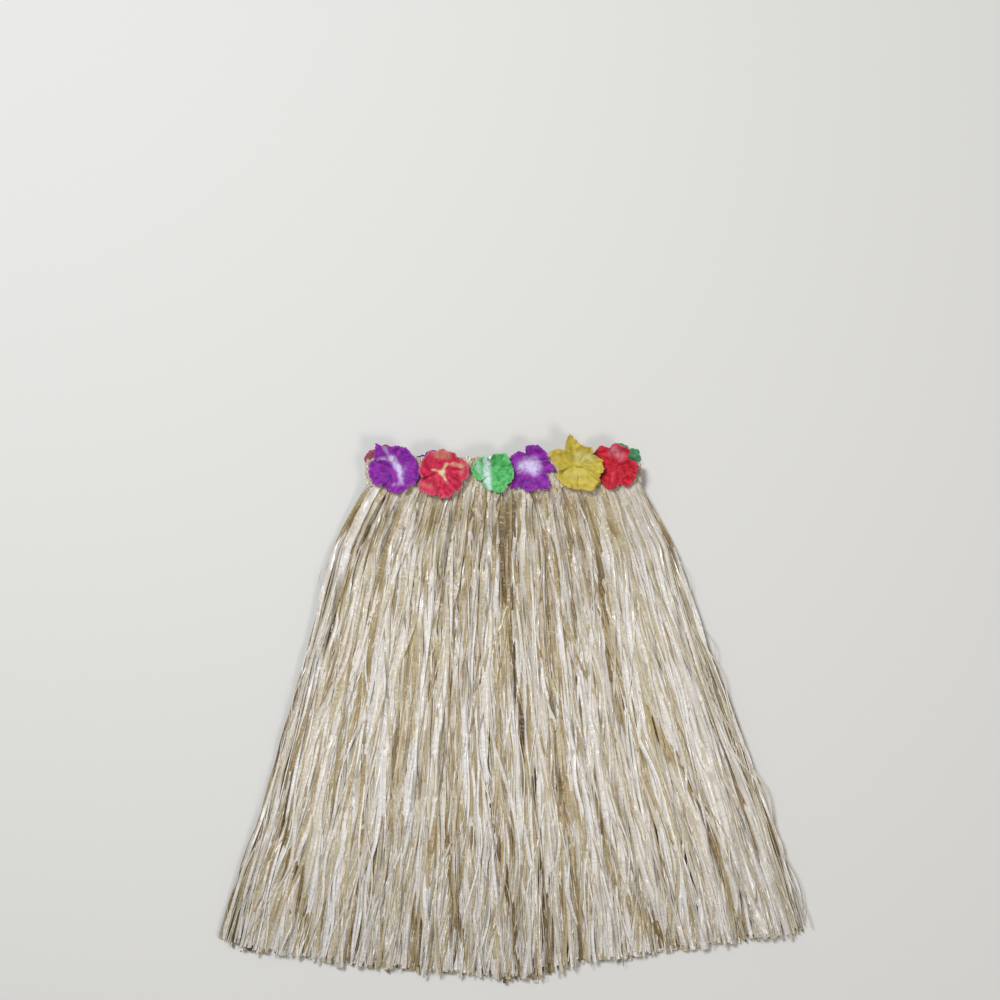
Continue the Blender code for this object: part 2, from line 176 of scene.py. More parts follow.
def feed(tree: bpy.types.NodeTree, node: bpy.types.Node, inputs: dict | tuple) -> None:
    """Set the input sockets of a node, or link them to what feeds them.

    Args:
        tree: Node tree that the node is in.
        node: The node.
        inputs: What sockets get, by name or number, or in order from the first: a value, an
            output socket, or a node that gives its first output.
    """
    for key, value in inputs.items() if isinstance(inputs, dict) else enumerate(inputs):
        if isinstance(value, bpy.types.Node):
            value = value.outputs[0]
        if isinstance(value, bpy.types.NodeSocket):
            tree.links.new(value, node.inputs[key])
        else:
            node.inputs[key].default_value = value


def add_node(
    tree: bpy.types.NodeTree, kind: str, inputs: dict | tuple = (), settings: dict | None = None
) -> bpy.types.Node:
    """Add a node with its settings and what comes into it.

    Args:
        tree: Node tree that gets the node.
        kind: Node type, without "ShaderNode".
        inputs: What its input sockets get, as in feed.
        settings: Node properties to set.

    Returns:
        The new node.
    """
    node = tree.nodes.new("ShaderNode" + kind)
    for key, value in (settings or {}).items():
        setattr(node, key, value)
    feed(tree, node, inputs)
    return node


def blank_material(name: str) -> tuple[bpy.types.Material, bpy.types.NodeTree, bpy.types.Node]:
    """Make a material with only its Principled shader.

    Args:
        name: Name of the material.

    Returns:
        The material, its tree and its shader node.
    """
    made = bpy.data.materials.new(name)
    made.use_nodes = True
    return made, made.node_tree, made.node_tree.nodes["Principled BSDF"]


def colour_ramp(node: bpy.types.Node, stops: tuple[tuple[float, str], ...]) -> None:
    """Set the stops of a ColorRamp node.

    Args:
        node: The ColorRamp node.
        stops: Place from 0 to 1 and sRGB hex colour of each stop.
    """
    ramp = node.color_ramp
    while len(ramp.elements) < len(stops):
        ramp.elements.new(0.5)
    for element, (place, colour) in zip(ramp.elements, stops):
        element.position = place
        element.color = linear(colour)


@dataclass(frozen=True)
class RaffiaFinish:
    """Split and dried raffia leaf: a thin crinkled film with a gloss, from ivory to ochre.

    The film wrinkles across its width where it was wet and dried, so small glints sit between
    dull patches. It pleats along its length, and its fibres draw fine streaks. The wrinkles are
    drawn coarser than real ones, which are finer than a pixel of the view.
    """

    name: str
    stops: tuple[tuple[float, str], ...]
    root_tint: str = "#A99A78"
    # Darker ochre painted on both edges of each ribbon: painted shade between neighbouring ribbons
    painted_edge_shade: str = "#8C7048"
    # By the distance along a ribbon in metres
    bleached: Range = (0.0, 0.78, -0.22, -0.38)
    # How strong the painted highlight and shade patches are, most near the waist
    glint_patch_reach: Range = (0.04, 0.34, 0.40, 0.0)
    rooted: Range = (0.0, 0.24, 0.38, 0.0)
    # Tips painted darker as painted shade, for the light that falls off towards the hem
    painted_tip_shade: Range = (0.50, 0.78, 1.0, 0.78)
    # By the place across a ribbon, 1 at its edge
    # How far in from its edges a ribbon is painted darker, as painted shade
    edge_shade_span: Range = (0.66, 1.0, 0.0, 0.32)
    # By a noise
    # Painted highlight and shade: how the patch noise moves the colour
    painted_glint_patches: Range = (0.32, 0.68, 0.22, -0.50)
    streaked: Range = (0.30, 0.70, 0.90, 1.04)
    gloss: Range = (0.30, 0.70, 0.22, 0.48)
    fibres: Grain = (0.9 * MM, 70.0 * MM, 2.0)
    pleats: Grain = (3.6 * MM, 110.0 * MM, 1.0)
    wrinkles: Grain = (12.0 * MM, 5.5 * MM, 1.0)
    buckles: Grain = (11.0 * MM, 34.0 * MM, 0.0)
    stains: Grain = (20.0 * MM, 85.0 * MM, 2.0)
    patch: float = 30.0 * MM
    apart: float = 53.0
    stain_weight: float = 0.6
    pleat_weight: float = 0.62
    fibre_weight: float = 0.14
    buckle_weight: float = 2.3
    swell_weight: float = 3.4
    relief: float = 2.1 * MM
    coat: float = 1.0
    coat_roughness: float = 0.20
    ior: float = 1.5

    def build(self) -> bpy.types.Material:
        """Make the material from the ribbons' own attributes."""
        made, tree, shader = blank_material(self.name)
        strand, along, across, edge = (
            add_node(tree, "Attribute", settings={"attribute_name": key}).outputs["Fac"]
            for key in ("strand", "along", "across", "edge")
        )
        apart = add_node(tree, "Math", (strand, self.apart), MULTIPLY)
        place = add_node(tree, "CombineXYZ", (across, along, apart))

        def grain(width: float, length: float, detail: float) -> bpy.types.NodeSocket:
            """Noise in the ribbon's own place, one feature being width across and length along."""
            scaled = add_node(tree, "VectorMath", (place, (1 / width, 1 / length, 1.0)), MULTIPLY)
            spots = add_node(tree, "TexNoise", {"Vector": scaled, "Scale": 1.0, "Detail": detail})
            return spots.outputs["Fac"]

        fibres, pleats = grain(*self.fibres), grain(*self.pleats)
        wrinkles, buckles = grain(*self.wrinkles), grain(*self.buckles)
        # Each ribbon has one place on the ramp, moved a little by its own stains
        pick = add_node(tree, "Math", (grain(*self.stains), self.stain_weight, strand), SCALE_AND_ADD)
        # It is paler all along, and its free end has bleached further than the end near the waist
        bleached = add_node(tree, "MapRange", (along, *self.bleached))
        shifted = add_node(tree, "Math", (pick, bleached), {"operation": "ADD"})
        # Near the waist, where the film is packed, patches over several ribbons are painted paler or darker
        # together: painted highlight and painted shade, for patches that catch the light together
        here = add_node(tree, "TexCoord").outputs["Object"]
        patches = add_node(tree, "TexNoise", {"Vector": here, "Scale": 1 / self.patch, "Detail": 1.0})
        painted_glint_patches = add_node(tree, "MapRange", (patches.outputs["Fac"], *self.painted_glint_patches))
        glint_patch_reach = add_node(tree, "MapRange", (along, *self.glint_patch_reach))
        patched = add_node(tree, "Math", (painted_glint_patches, glint_patch_reach, shifted), SCALE_AND_ADD)
        ramp = add_node(tree, "ValToRGB", (patched,))
        colour_ramp(ramp, self.stops)
        colour = ramp.outputs["Color"]
        # The sewn end is browner than the bleached free end, and both edges of a ribbon are
        # painted a darker ochre: painted shade for the dark lines between neighbouring ribbons
        for source, span, tint in ((along, self.rooted, self.root_tint), (edge, self.edge_shade_span, self.painted_edge_shade)):
            amount = add_node(tree, "MapRange", (source, *span))
            mixed = add_node(tree, "Mix", {FACTOR: amount, UNDER: colour, OVER: linear(tint)}, BLEND)
            colour = mixed.outputs[BLENDED]
        # Fibres darken the film by up to a tenth, and the tips are painted darker than the middle:
        # painted shade, for the light that falls off towards the hem
        for source, span in ((fibres, self.streaked), (along, self.painted_tip_shade)):
            amount = add_node(tree, "MapRange", (source, *span))
            mixed = add_node(tree, "Mix", {FACTOR: 1.0, UNDER: colour, OVER: amount}, BLEND_MULTIPLY)
            colour = mixed.outputs[BLENDED]

        folds = add_node(tree, "Math", (pleats, self.pleat_weight, wrinkles), SCALE_AND_ADD)
        fine = add_node(tree, "Math", (fibres, self.fibre_weight, folds), SCALE_AND_ADD)
        whole = add_node(tree, "Math", (buckles, self.buckle_weight, fine), SCALE_AND_ADD)
        # The gloss lies on the buckles and pleats alone, so its glints are patches and not dots
        broad = add_node(tree, "Math", (buckles, self.swell_weight, pleats), SCALE_AND_ADD)
        relief, swell = (
            add_node(tree, "Bump", {"Height": height, "Strength": 1.0, "Distance": self.relief})
            for height in (whole, broad)
        )
        surface = {
            "Base Color": colour,
            "Roughness": add_node(tree, "MapRange", (wrinkles, *self.gloss)),
            "IOR": self.ior,
            "Coat Weight": self.coat,
            "Coat Roughness": self.coat_roughness,
            "Normal": relief,
            "Coat Normal": swell,
        }
        feed(tree, shader, surface)
        return made


@dataclass(frozen=True)
class TapeFinish:
    """Woven elastic tape, gathered: a dull beige cloth with rubber threads that show as fine ribs."""

    name: str = "woven elastic tape"
    colour: str = "#C2B28C"
    shade: str = "#97824F"
    rib_pitch: float = 2.2 * MM
    rib_height: float = 0.4 * MM
    roughness: float = 0.75

    def build(self) -> bpy.types.Material:
        """Make the material: ribs run up the tape, threads run along it."""
        made, tree, shader = blank_material(self.name)
        here = add_node(tree, "TexCoord").outputs["Object"]
        scale = 1 / self.rib_pitch / WAVES_A_METRE
        ribs = {"Vector": here, "Scale": scale, "Distortion": 1.5, "Detail": 2.0}
        wave = add_node(tree, "TexWave", ribs, {"bands_direction": "X"}).outputs["Fac"]
        # The grooves between the ribs get the darker shade colour: painted shade in the grooves
        tones = {FACTOR: wave, UNDER: linear(self.shade), OVER: linear(self.colour)}
        surface = {
            "Base Color": add_node(tree, "Mix", tones, BLEND).outputs[BLENDED],
            "Roughness": self.roughness,
            "Normal": add_node(tree, "Bump", {"Height": wave, "Strength": 0.5, "Distance": self.rib_height}),
        }
        feed(tree, shader, surface)
        return made


@dataclass(frozen=True)
class PetalFinish:
    """Dyed and starched polyester petal cloth: pale where the dye ran thin, painted darker in folds and cast
    shadows as painted shade, finely crinkled.
    """

    name: str
    dye: str
    deep: str
    pale: str
    rim: str
    # Colour of the painted shade in folds and under cast shadows
    fold_shade: str
    blot: float = 7.0 * MM
    blot_weight: float = 0.35
    deepened: Range = (0.36, 0.62, 0.0, 1.0)
    rimmed: Range = (0.90, 1.0, 0.0, 0.55)
    faded: Range = (0.26, 1.10, 0.0, 1.0)
    # How far under zero a streak must go to paint the full shade
    fold_shade_span: Range = (-0.02, -1.0, 0.0, 1.0)
    crinkle: float = 2.4 * MM
    crinkle_height: float = 1.5 * MM
    roughness: float = 0.58
    shine: float = 0.3
    fuzz: float = 0.04

    def build(self) -> bpy.types.Material:
        """Make the material from the petals' attributes "pale" and "out"."""
        made, tree, shader = blank_material(self.name)
        here = add_node(tree, "TexCoord").outputs["Object"]
        pale, out = (
            add_node(tree, "Attribute", settings={"attribute_name": key}).outputs["Fac"]
            for key in ("pale", "out")
        )
        spots = {"Vector": here, "Scale": 1 / self.blot, "Detail": 4.0}
        blots = add_node(tree, "TexNoise", spots).outputs["Fac"]
        thin = add_node(tree, "Math", (blots, self.blot_weight, pale), SCALE_AND_ADD)
        # The dye is blotched, another tone at the cloth's rim and thin on the streaks; where the streaks are
        # negative the cloth is painted dark, as painted shade in folds and cast shadows
        colour = linear(self.dye)
        for source, span, tint in (
            (blots, self.deepened, self.deep),
            (out, self.rimmed, self.rim),
            (thin, self.faded, self.pale),
            (pale, self.fold_shade_span, self.fold_shade),
        ):
            amount = add_node(tree, "MapRange", (source, *span))
            mixed = add_node(tree, "Mix", {FACTOR: amount, UNDER: colour, OVER: linear(tint)}, BLEND)
            colour = mixed.outputs[BLENDED]
        creases = add_node(tree, "TexNoise", {"Vector": here, "Scale": 1 / self.crinkle, "Detail": 2.0})
        height = {"Height": creases.outputs["Fac"], "Strength": 0.8, "Distance": self.crinkle_height}
        surface = {
            "Base Color": colour,
            "Roughness": self.roughness,
            "Specular IOR Level": self.shine,
            "Sheen Weight": self.fuzz,
            "Normal": add_node(tree, "Bump", height),
        }
        feed(tree, shader, surface)
        return made


@dataclass(frozen=True)
class FloorFinish:
    """Painted studio floor: a plain pale grey, almost without gloss."""

    name: str = "matt painted floor"
    colour: str = "#DADAD8"
    roughness: float = 0.9

    def build(self) -> bpy.types.Material:
        """Make the material."""
        made, tree, shader = blank_material(self.name)
        feed(tree, shader, {"Base Color": linear(self.colour), "Roughness": self.roughness})
        return made


def piece_from(name: str, mesh: bpy.types.Mesh, material: bpy.types.Material) -> bpy.types.Object:
    """Put a mesh in the scene as one named piece with one material.

    Args:
        name: Name of the piece.
        mesh: Its mesh, already in its place.
        material: Its material.

    Returns:
        The new object, which rides on the skirt's body.
    """
    mesh.name = name
    mesh.materials.clear()
    mesh.materials.append(material)
    made = bpy.data.objects.new(name, mesh)
    bpy.context.scene.collection.objects.link(made)
    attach(made, BODY)
    return made


@dataclass(frozen=True)
class Waist:
    """Where the waist is in the frame, read from the solids of the waistband."""

    x: float
    y: float
    back_z: float
    front_z: float
    half_width: float
    height: float
    level_half: float = 140.0 * MM
    droop: float = 3.0 * MM
    end_droops: tuple[float, float] = (3.0 * MM, 10.0 * MM)

    def face(self, x: np.ndarray) -> np.ndarray:
        """Height of the front face of the pressed loop, which is round at both ends.

        Args:
            x: Places along the tape, in the frame.

        Returns:
            Heights in the frame.
        """
        bend = (self.front_z - self.back_z) / 2
        past = np.maximum(np.abs(x - self.x) - (self.half_width - bend), 0)
        return self.front_z - bend + np.sqrt(np.maximum(bend**2 - past**2, 0))

    def sag(self, x: np.ndarray) -> np.ndarray:
        """How far the upper edge of the pressed loop droops, most at its two ends.

        Args:
            x: Places along the tape, in the frame.

        Returns:
            Shifts along Y, under zero.
        """
        along = x - self.x
        past = np.maximum(np.abs(along) - self.level_half, 0) / (self.half_width - self.level_half)
        left, right = self.end_droops
        return -self.droop - np.where(along > 0, right, left) * past**2

    @classmethod
    def read(cls) -> Waist:
        """Read the waist from the CAD boxes of the two runs of tape."""
        front_low, front_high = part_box("waistband_front")
        back_low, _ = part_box("waistband_back")
        return cls(
            x=(front_low[0] + front_high[0]) / 2,
            y=front_low[1],
            back_z=back_low[2],
            front_z=front_high[2],
            half_width=(front_high[0] - front_low[0]) / 2,
            height=front_high[1] - front_low[1],
        )


# Tones of the film, from the palest ribbon to the darkest
BLEACHED = (
    (0.00, "#F1F0F0"),
    (0.34, "#EAE5DE"),
    (0.60, "#DAD1BF"),
    (0.84, "#C5B692"),
    (1.00, "#A69068"),
)
# Inner layers: the same spread of tones, painted darker and browner as painted shade under the outer film
SHADED_INNER_TONES = ((0.00, "#BFB088"), (0.45, "#988254"), (0.80, "#6E5730"), (1.00, "#4A381F"))


class Profile(Enum):
    """Cross-sections that raffia film dries into, one unit in half width."""

    RIDGE = ((-1.0, -0.04), (1.0, -0.04), (0.15, 0.20))
    LEAN = ((-1.0, -0.02), (1.0, 0.02), (-0.45, 0.24))


def reach_at(distance: np.ndarray) -> np.ndarray:
    """Half width of the spread fan at a distance along the grass."""
    return np.interp(distance, *(np.array(FAN).T * MM))


def grown(out: np.ndarray, length: float, least: float = 0.0) -> np.ndarray:
    """Grow from a least share near the heading to 1 over a length of the grass."""
    return np.clip((out - RAMP_START) / length, least, 1)


@dataclass
class Ribbons:
    """A crowd of raffia ribbons that share one cross-section and hang from one heading.

    The levels are those of the layer's pile, from 0 on the floor. Wander, bundle pull, slant and
    loop move a ribbon sideways, lift and sink up and down, and turn and crinkle twist it.
    """

    name: str
    count: int
    levels: tuple[float, float]
    seed: int
    profile: Profile
    widths: tuple[float, float] = (2.8 * MM, 10.5 * MM)
    steps: int = 40
    wander: float = 9.0 * MM
    turn: float = 0.28
    lift: float = 0.7 * MM
    thin_share: float = 0.2
    widest: float = 18.0 * MM
    crinkle: float = 0.05
    sink: float = 5.5 * MM
    slant: float = 0.012
    loop: float = 0.0
    bundles: int = 44
    bundle_pull: float = 8.0 * MM
    parting: float = 2.0 * MM
    parting_reach: float = 9.0 * MM
    # How dark the ribbons in the parting are painted, as painted shade
    parting_shade_tone: float = 0.72
    short_share: float = 0.10
    waist: Waist | None = None

    def places(self, rng: np.random.Generator) -> tuple[np.ndarray, np.ndarray]:
        """Share the ribbons out across the fan, evenly but not regularly, and set their lengths."""
        across = (np.arange(self.count) + rng.random(self.count)) / self.count * 2 - 1
        rng.shuffle(across)
        length = LOCK_LENGTH - SIDE_SHORTER * np.abs(across) ** 1.2
        place, added = np.array(HEM).T
        length += np.interp(across, place, added * MM)
        length += rng.normal(-4 * MM, 3.6 * MM, self.count)
        short = rng.random(self.count) < self.short_share
        length -= short * rng.uniform(10 * MM, 60 * MM, self.count)
        return across, length

    def each(self, rng: np.random.Generator, low: float, high: float) -> np.ndarray:
        """Draw one number for every ribbon."""
        return rng.uniform(low, high, (self.count, 1))

    def ripple(self, rng: np.random.Generator, share: np.ndarray, least: float, most: float) -> np.ndarray:
        """Draw a sine along every ribbon, with its own phase and number of waves."""
        phase = self.each(rng, 0, 2 * np.pi)
        return np.sin(2 * np.pi * self.each(rng, least, most) * share + phase)

    def build(self) -> bpy.types.Mesh:
        """Sweep every ribbon along its own path.

        Returns:
            One closed mesh of all ribbons, with the attributes strand, along, across and edge.
        """
        rng = np.random.default_rng(self.seed)
        across, length = self.places(rng)
        share = np.linspace(0, 1, self.steps + 1)[None, :]
        start = -self.waist.height * START_ON_TAPE
        distance = start + (length[:, None] - start) * share
        across = across[:, None]
        side = np.sign(across)
        out = np.maximum(distance, 0)
        centre = self.fan(across, out)
        centre[..., 1] += self.waist.y - np.minimum(distance, 0)
        centre[..., 0] += self.waist.x
        reach = reach_at(out)

        # Sideways: clumps that all ribbons share, each ribbon's slow wander, and bundles
        step_x = np.gradient(centre[..., 0], axis=1)
        step_y = np.gradient(centre[..., 1], axis=1)
        size = np.hypot(step_x, step_y)
        side_x, side_y = -step_y / size, step_x / size
        outer = np.abs(across) > KEPT_IN
        free = grown(out, FREE_LENGTH) * (0.30 + 0.70 * out / LOCK_LENGTH)
        free *= np.where(outer, 0.45, 1.0)
        shift = self.clumps(across, out) * grown(out, CLUMP_LENGTH)
        for waves, part in WANDER_WAVES:
            phase = self.each(rng, 0, 2 * np.pi)
            size_of = rng.normal(0, 1, (self.count, 1)) * part * self.wander
            shift += size_of * np.sin(2 * np.pi * waves * share + phase) * free
        bundle = ((across + 1) / 2 * self.bundles).astype(int)
        phase = rng.uniform(0, 2 * np.pi, self.bundles + 1)[bundle]
        waves = rng.uniform(0.7, 1.7, self.bundles + 1)[bundle]
        pull = self.bundle_pull * np.where(outer, 0.2, 1.0)
        shift += pull * np.sin(2 * np.pi * waves * share + phase) * free
        slant = rng.normal(0, self.slant, (self.count, 1))
        slant = np.where(outer, -side * np.abs(slant) * 0.4, slant)
        shift += slant * np.maximum(out - SLANT_START, 0)
        # Nothing swings out of the fan, whose side edges are a little uneven
        side_rng = np.random.default_rng(self.seed + SIDE_SEED)
        edge = SIDE_EDGE + SIDE_UNEVEN * self.ripple(side_rng, share, 1.5, 6.0)
        shift = np.clip(shift, -reach * (edge + across), reach * (edge - across))
        # Only loose ribbons at the very side loop out of it
        loop = self.each(rng, 0.16, 0.62)
        looped = (np.abs(across) > LOOSE) & (rng.random((self.count, 1)) < LOOPED_SHARE)
        shift += looped * side * self.loop * np.exp(-(((out - loop) / LOOP_LENGTH) ** 2))
        centre[..., 0] += side_x * shift
        centre[..., 1] += side_y * shift

        # Height: from the heading down to the floor, with slow waves over the neighbours
        level = self.each(rng, *self.levels)
        root = self.waist.back_z + BAND_WALL + SEAM + level / 2 * LAYER_STEP + HEADING_CLEAR
        rest = level * np.interp(out, (RAMP_END, LOCK_LENGTH), PILE_STEP) + LOWEST
        ramp = grown(out, RAMP_END - RAMP_START)
        ramp = ramp * ramp * (3 - 2 * ramp) * 0.7 + ramp * 0.3
        wave = self.ripple(rng, share, 1.5, 5.0)
        wave = self.lift * rng.random((self.count, 1)) * wave
        height = root + (rest - root) * ramp + wave * free
        sink = self.sink * grown(out, SINK_LENGTH)
        sink *= np.interp(out, *SINK_ALONG)
        here = across + shift / reach
        height -= sink * self.hollows(here, out)
        left, right = here - SLOPE_STEP, here + SLOPE_STEP
        slope = sink * (self.hollows(left, out) - self.hollows(right, out)) / (2 * SLOPE_STEP * reach)

        # Width and turn: flat and wide at the waist, rolled and narrow further down
        low, high = self.widths
        wide = low + (high - low) * rng.beta(1.2, 2.2, (self.count, 1))
        thin = rng.random((self.count, 1)) < self.thin_share
        wide = np.where(thin, low * self.each(rng, 0.5, 0.9), wide)
        breathe = 1 + 0.22 * self.ripple(rng, share, 1.0, 4.5)
        near = 1 + self.each(rng, 0.1, 1.1) * np.exp(-((out / WIDE_LENGTH) ** 2))
        half = wide / 2 * breathe * near * np.interp(out, *NARROW_ALONG)
        half = np.minimum(half, self.widest / 2) * np.where(looped, 0.4, 1.0)
        half *= np.where(np.abs(across) > SLIM, 0.6, 1.0)
        wave = self.ripple(rng, share, 0.8, 3.5)
        roll = self.turn * rng.normal(0, 1, (self.count, 1)) * wave
        roll += rng.normal(0, self.crinkle, roll.shape)
        lean = np.arctan(slope)
        roll = np.clip(roll * grown(out, CLUMP_LENGTH, 0.2) + lean, -MOST_ROLL, MOST_ROLL)
        height += rng.normal(0, ROUGH, height.shape) * np.clip(out / ROUGH_LENGTH, 0, 1)
        height = np.maximum(height, FLOOR_CLEAR + np.abs(np.sin(roll)) * half + 0.2 * half)
        centre[..., 2] = height
        return self.sweep(centre, half, roll, distance, rng)

    @staticmethod
    def fan(across: np.ndarray, distance: np.ndarray) -> np.ndarray:
        """Place of a point of the fan, from the waist's middle and the tape's lower edge.

        Args:
            across: From -1 at the left side to 1 at the right.
            distance: Distance along the grass from its heading.

        Returns:
            Array of x, y and a zero height.
        """
        x = across * reach_at(distance) + SWAY * np.clip(distance / SWAY_DISTANCE, 0, 1) ** 2
        out = x - across * HEADING_HALF_WIDTH
        y = HEADING_Y - np.sqrt(np.maximum(distance**2 - out**2, 0))
        return np.stack([x, y, np.zeros_like(x)], axis=-1)

    @staticmethod
    def clumps(across: np.ndarray, distance: np.ndarray) -> np.ndarray:
        """Sideways pull of the clumps, the same for every ribbon that lies there."""
        pull = np.zeros(np.broadcast(across, distance).shape)
        for waves, phase, drift, size in CLUMPS:
            pull += size * MM * np.sin(waves * across + phase + drift * distance / CLUMP_DRIFT)
        return pull

    @staticmethod
    def hollows(across: np.ndarray, distance: np.ndarray) -> np.ndarray:
        """How deep the grass sinks between its clumps, from 0 on them to about 1 between them."""
        # Sines of uneven pitch, swayed by slower ones, so that no hollow is like the next
        sway = 0.9 * np.sin(3.1 * across + 0.7) + 0.4 * np.sin(9.7 * across + 2.0 + 4.0 * distance)
        coarse = np.sin(17.0 * across + 2.4 * sway + 1.2 * np.sin(5 * distance))
        fine = np.sin(43.0 * across + 3.4 * sway + 0.8 - 3.0 * distance)
        # The grass parts along a line down from the middle of the waist
        parting = np.exp(-(((across - PARTING_ACROSS) / PARTING_WIDTH) ** 2))
        parting *= np.clip(1.3 - distance / PARTING_LENGTH, 0, 1)
        wide = 0.34 + 0.22 * np.exp(-distance / 0.15)
        return np.exp(-((coarse / wide) ** 2)) + 0.5 * np.exp(-((fine / 0.4) ** 2)) + 1.5 * parting

    def sweep(
        self,
        centre: np.ndarray,
        half: np.ndarray,
        roll: np.ndarray,
        distance: np.ndarray,
        rng: np.random.Generator,
    ) -> bpy.types.Mesh:
        """Sweep the cross-section along all paths with Blender's curve bevel, and close the ends.

        Args:
            centre: Points of each path.
            half: Half width at each point.
            roll: Turn about the path at each point.
            distance: Distance from the heading at each point.
            rng: Source of the ribbons' own random tone.

        Returns:
            The mesh, with its attributes.
        """
        corners = self.profile.value
        outline = bpy.data.curves.new("ribbon outline", "CURVE")
        outline.dimensions = "2D"
        spline = outline.splines.new("POLY")
        spline.points.add(len(corners) - 1)
        for point, (x, y) in zip(spline.points, corners):
            point.co = (x, y, 0, 1)
        spline.use_cyclic_u = True
        section = bpy.data.objects.new("ribbon outline", outline)

        paths = bpy.data.curves.new("ribbon paths", "CURVE")
        paths.dimensions = "3D"
        paths.bevel_mode = "OBJECT"
        paths.bevel_object = section
        paths.twist_mode = "Z_UP"
        rings, sides = centre.shape[1], len(corners)
        fourth = np.ones((rings, 1))
        for number in range(self.count):
            spline = paths.splines.new("POLY")
            spline.points.add(rings - 1)
            spline.points.foreach_set("co", np.hstack([centre[number], fourth]).ravel())
            spline.points.foreach_set("radius", half[number])
            spline.points.foreach_set("tilt", roll[number])
        swept = bpy.data.objects.new("ribbon paths", paths)
        for made in (section, swept):
            bpy.context.scene.collection.objects.link(made)
        graph = bpy.context.evaluated_depsgraph_get()
        mesh = bpy.data.meshes.new_from_object(swept.evaluated_get(graph))
        for old in (swept, section):
            bpy.data.objects.remove(old)
        bpy.data.curves.remove(paths)
        bpy.data.curves.remove(outline)

        if len(mesh.vertices) != self.count * rings * sides:
            raise ValueError(f"{self.name}: the sweep has {len(mesh.vertices)} points")
        # Ribbons in the parting lie in its shade, and their tones are painted darker as painted shade
        parted = np.abs(centre[:, rings // 5, 0] - self.waist.x - self.parting) < self.parting_reach
        tone = rng.random(self.count)
        tone = np.where(parted, self.parting_shade_tone + (1 - self.parting_shade_tone) * tone, tone)
        places = np.tile([corner[0] for corner in corners], self.count * rings)
        for key, values in (
            ("strand", np.repeat(tone, rings * sides)),
            ("along", np.repeat(distance.ravel(), sides)),
            ("across", np.repeat(half.ravel(), sides) * places),
            ("edge", np.abs(places)),
        ):
            mesh.attributes.new(key, "FLOAT", "POINT").data.foreach_set("value", values.astype(np.float32))
        bm = bmesh.new()
        bm.from_mesh(mesh)
        bmesh.ops.holes_fill(bm, edges=[edge for edge in bm.edges if edge.is_boundary], sides=sides)
        bmesh.ops.recalc_face_normals(bm, faces=bm.faces)
        bm.to_mesh(mesh)
        bm.free()
        mesh.shade_smooth()
        mesh.set_sharp_from_angle(angle=math.radians(50))
        return mesh


@dataclass
class TurnedEnds(Ribbons):
    """The short cut ends of the raffia, turned over the tape and sewn down on its front.

    Their levels are heights over the tape in millimetres.
    """

    def build(self) -> bpy.types.Mesh:
        """Lay each end down the front of the tape and out onto the grass below it."""
        rng = np.random.default_rng(self.seed)
        w = self.waist
        across = (np.arange(self.count) + rng.random(self.count)) / self.count * 2 - 1
        rng.shuffle(across)
        across = across[:, None]
        share = np.linspace(0, 1, self.steps + 1)[None, :]
        above = w.height + self.each(rng, -2.5 * MM, 1.4 * MM)
        below = self.each(rng, 3 * MM, 18 * MM)
        down = -above + (above + below) * share
        out = np.maximum(down, 0)
        centre = self.fan(across, out)
        centre[..., 0] = w.x + across * np.maximum(reach_at(out), w.half_width - 1.5 * MM)
        jitter = rng.normal(0, 1.1 * MM, down.shape)
        centre[..., 0] += jitter + rng.normal(0, 2.5 * MM, (self.count, 1)) * share
        centre[..., 1] += w.y - np.minimum(down, 0) * (1 + w.sag(centre[..., 0]) / w.height)
        level = self.each(rng, *self.levels) * MM
        centre[..., 2] = w.face(centre[..., 0]) + level - 1.4 * MM * share**2
        half = self.each(rng, *self.widths) / 2 * rng.uniform(0.75, 1.15, down.shape)
        roll = rng.normal(0, 0.28, down.shape)
        return self.sweep(centre, half, roll, down + w.height, rng)


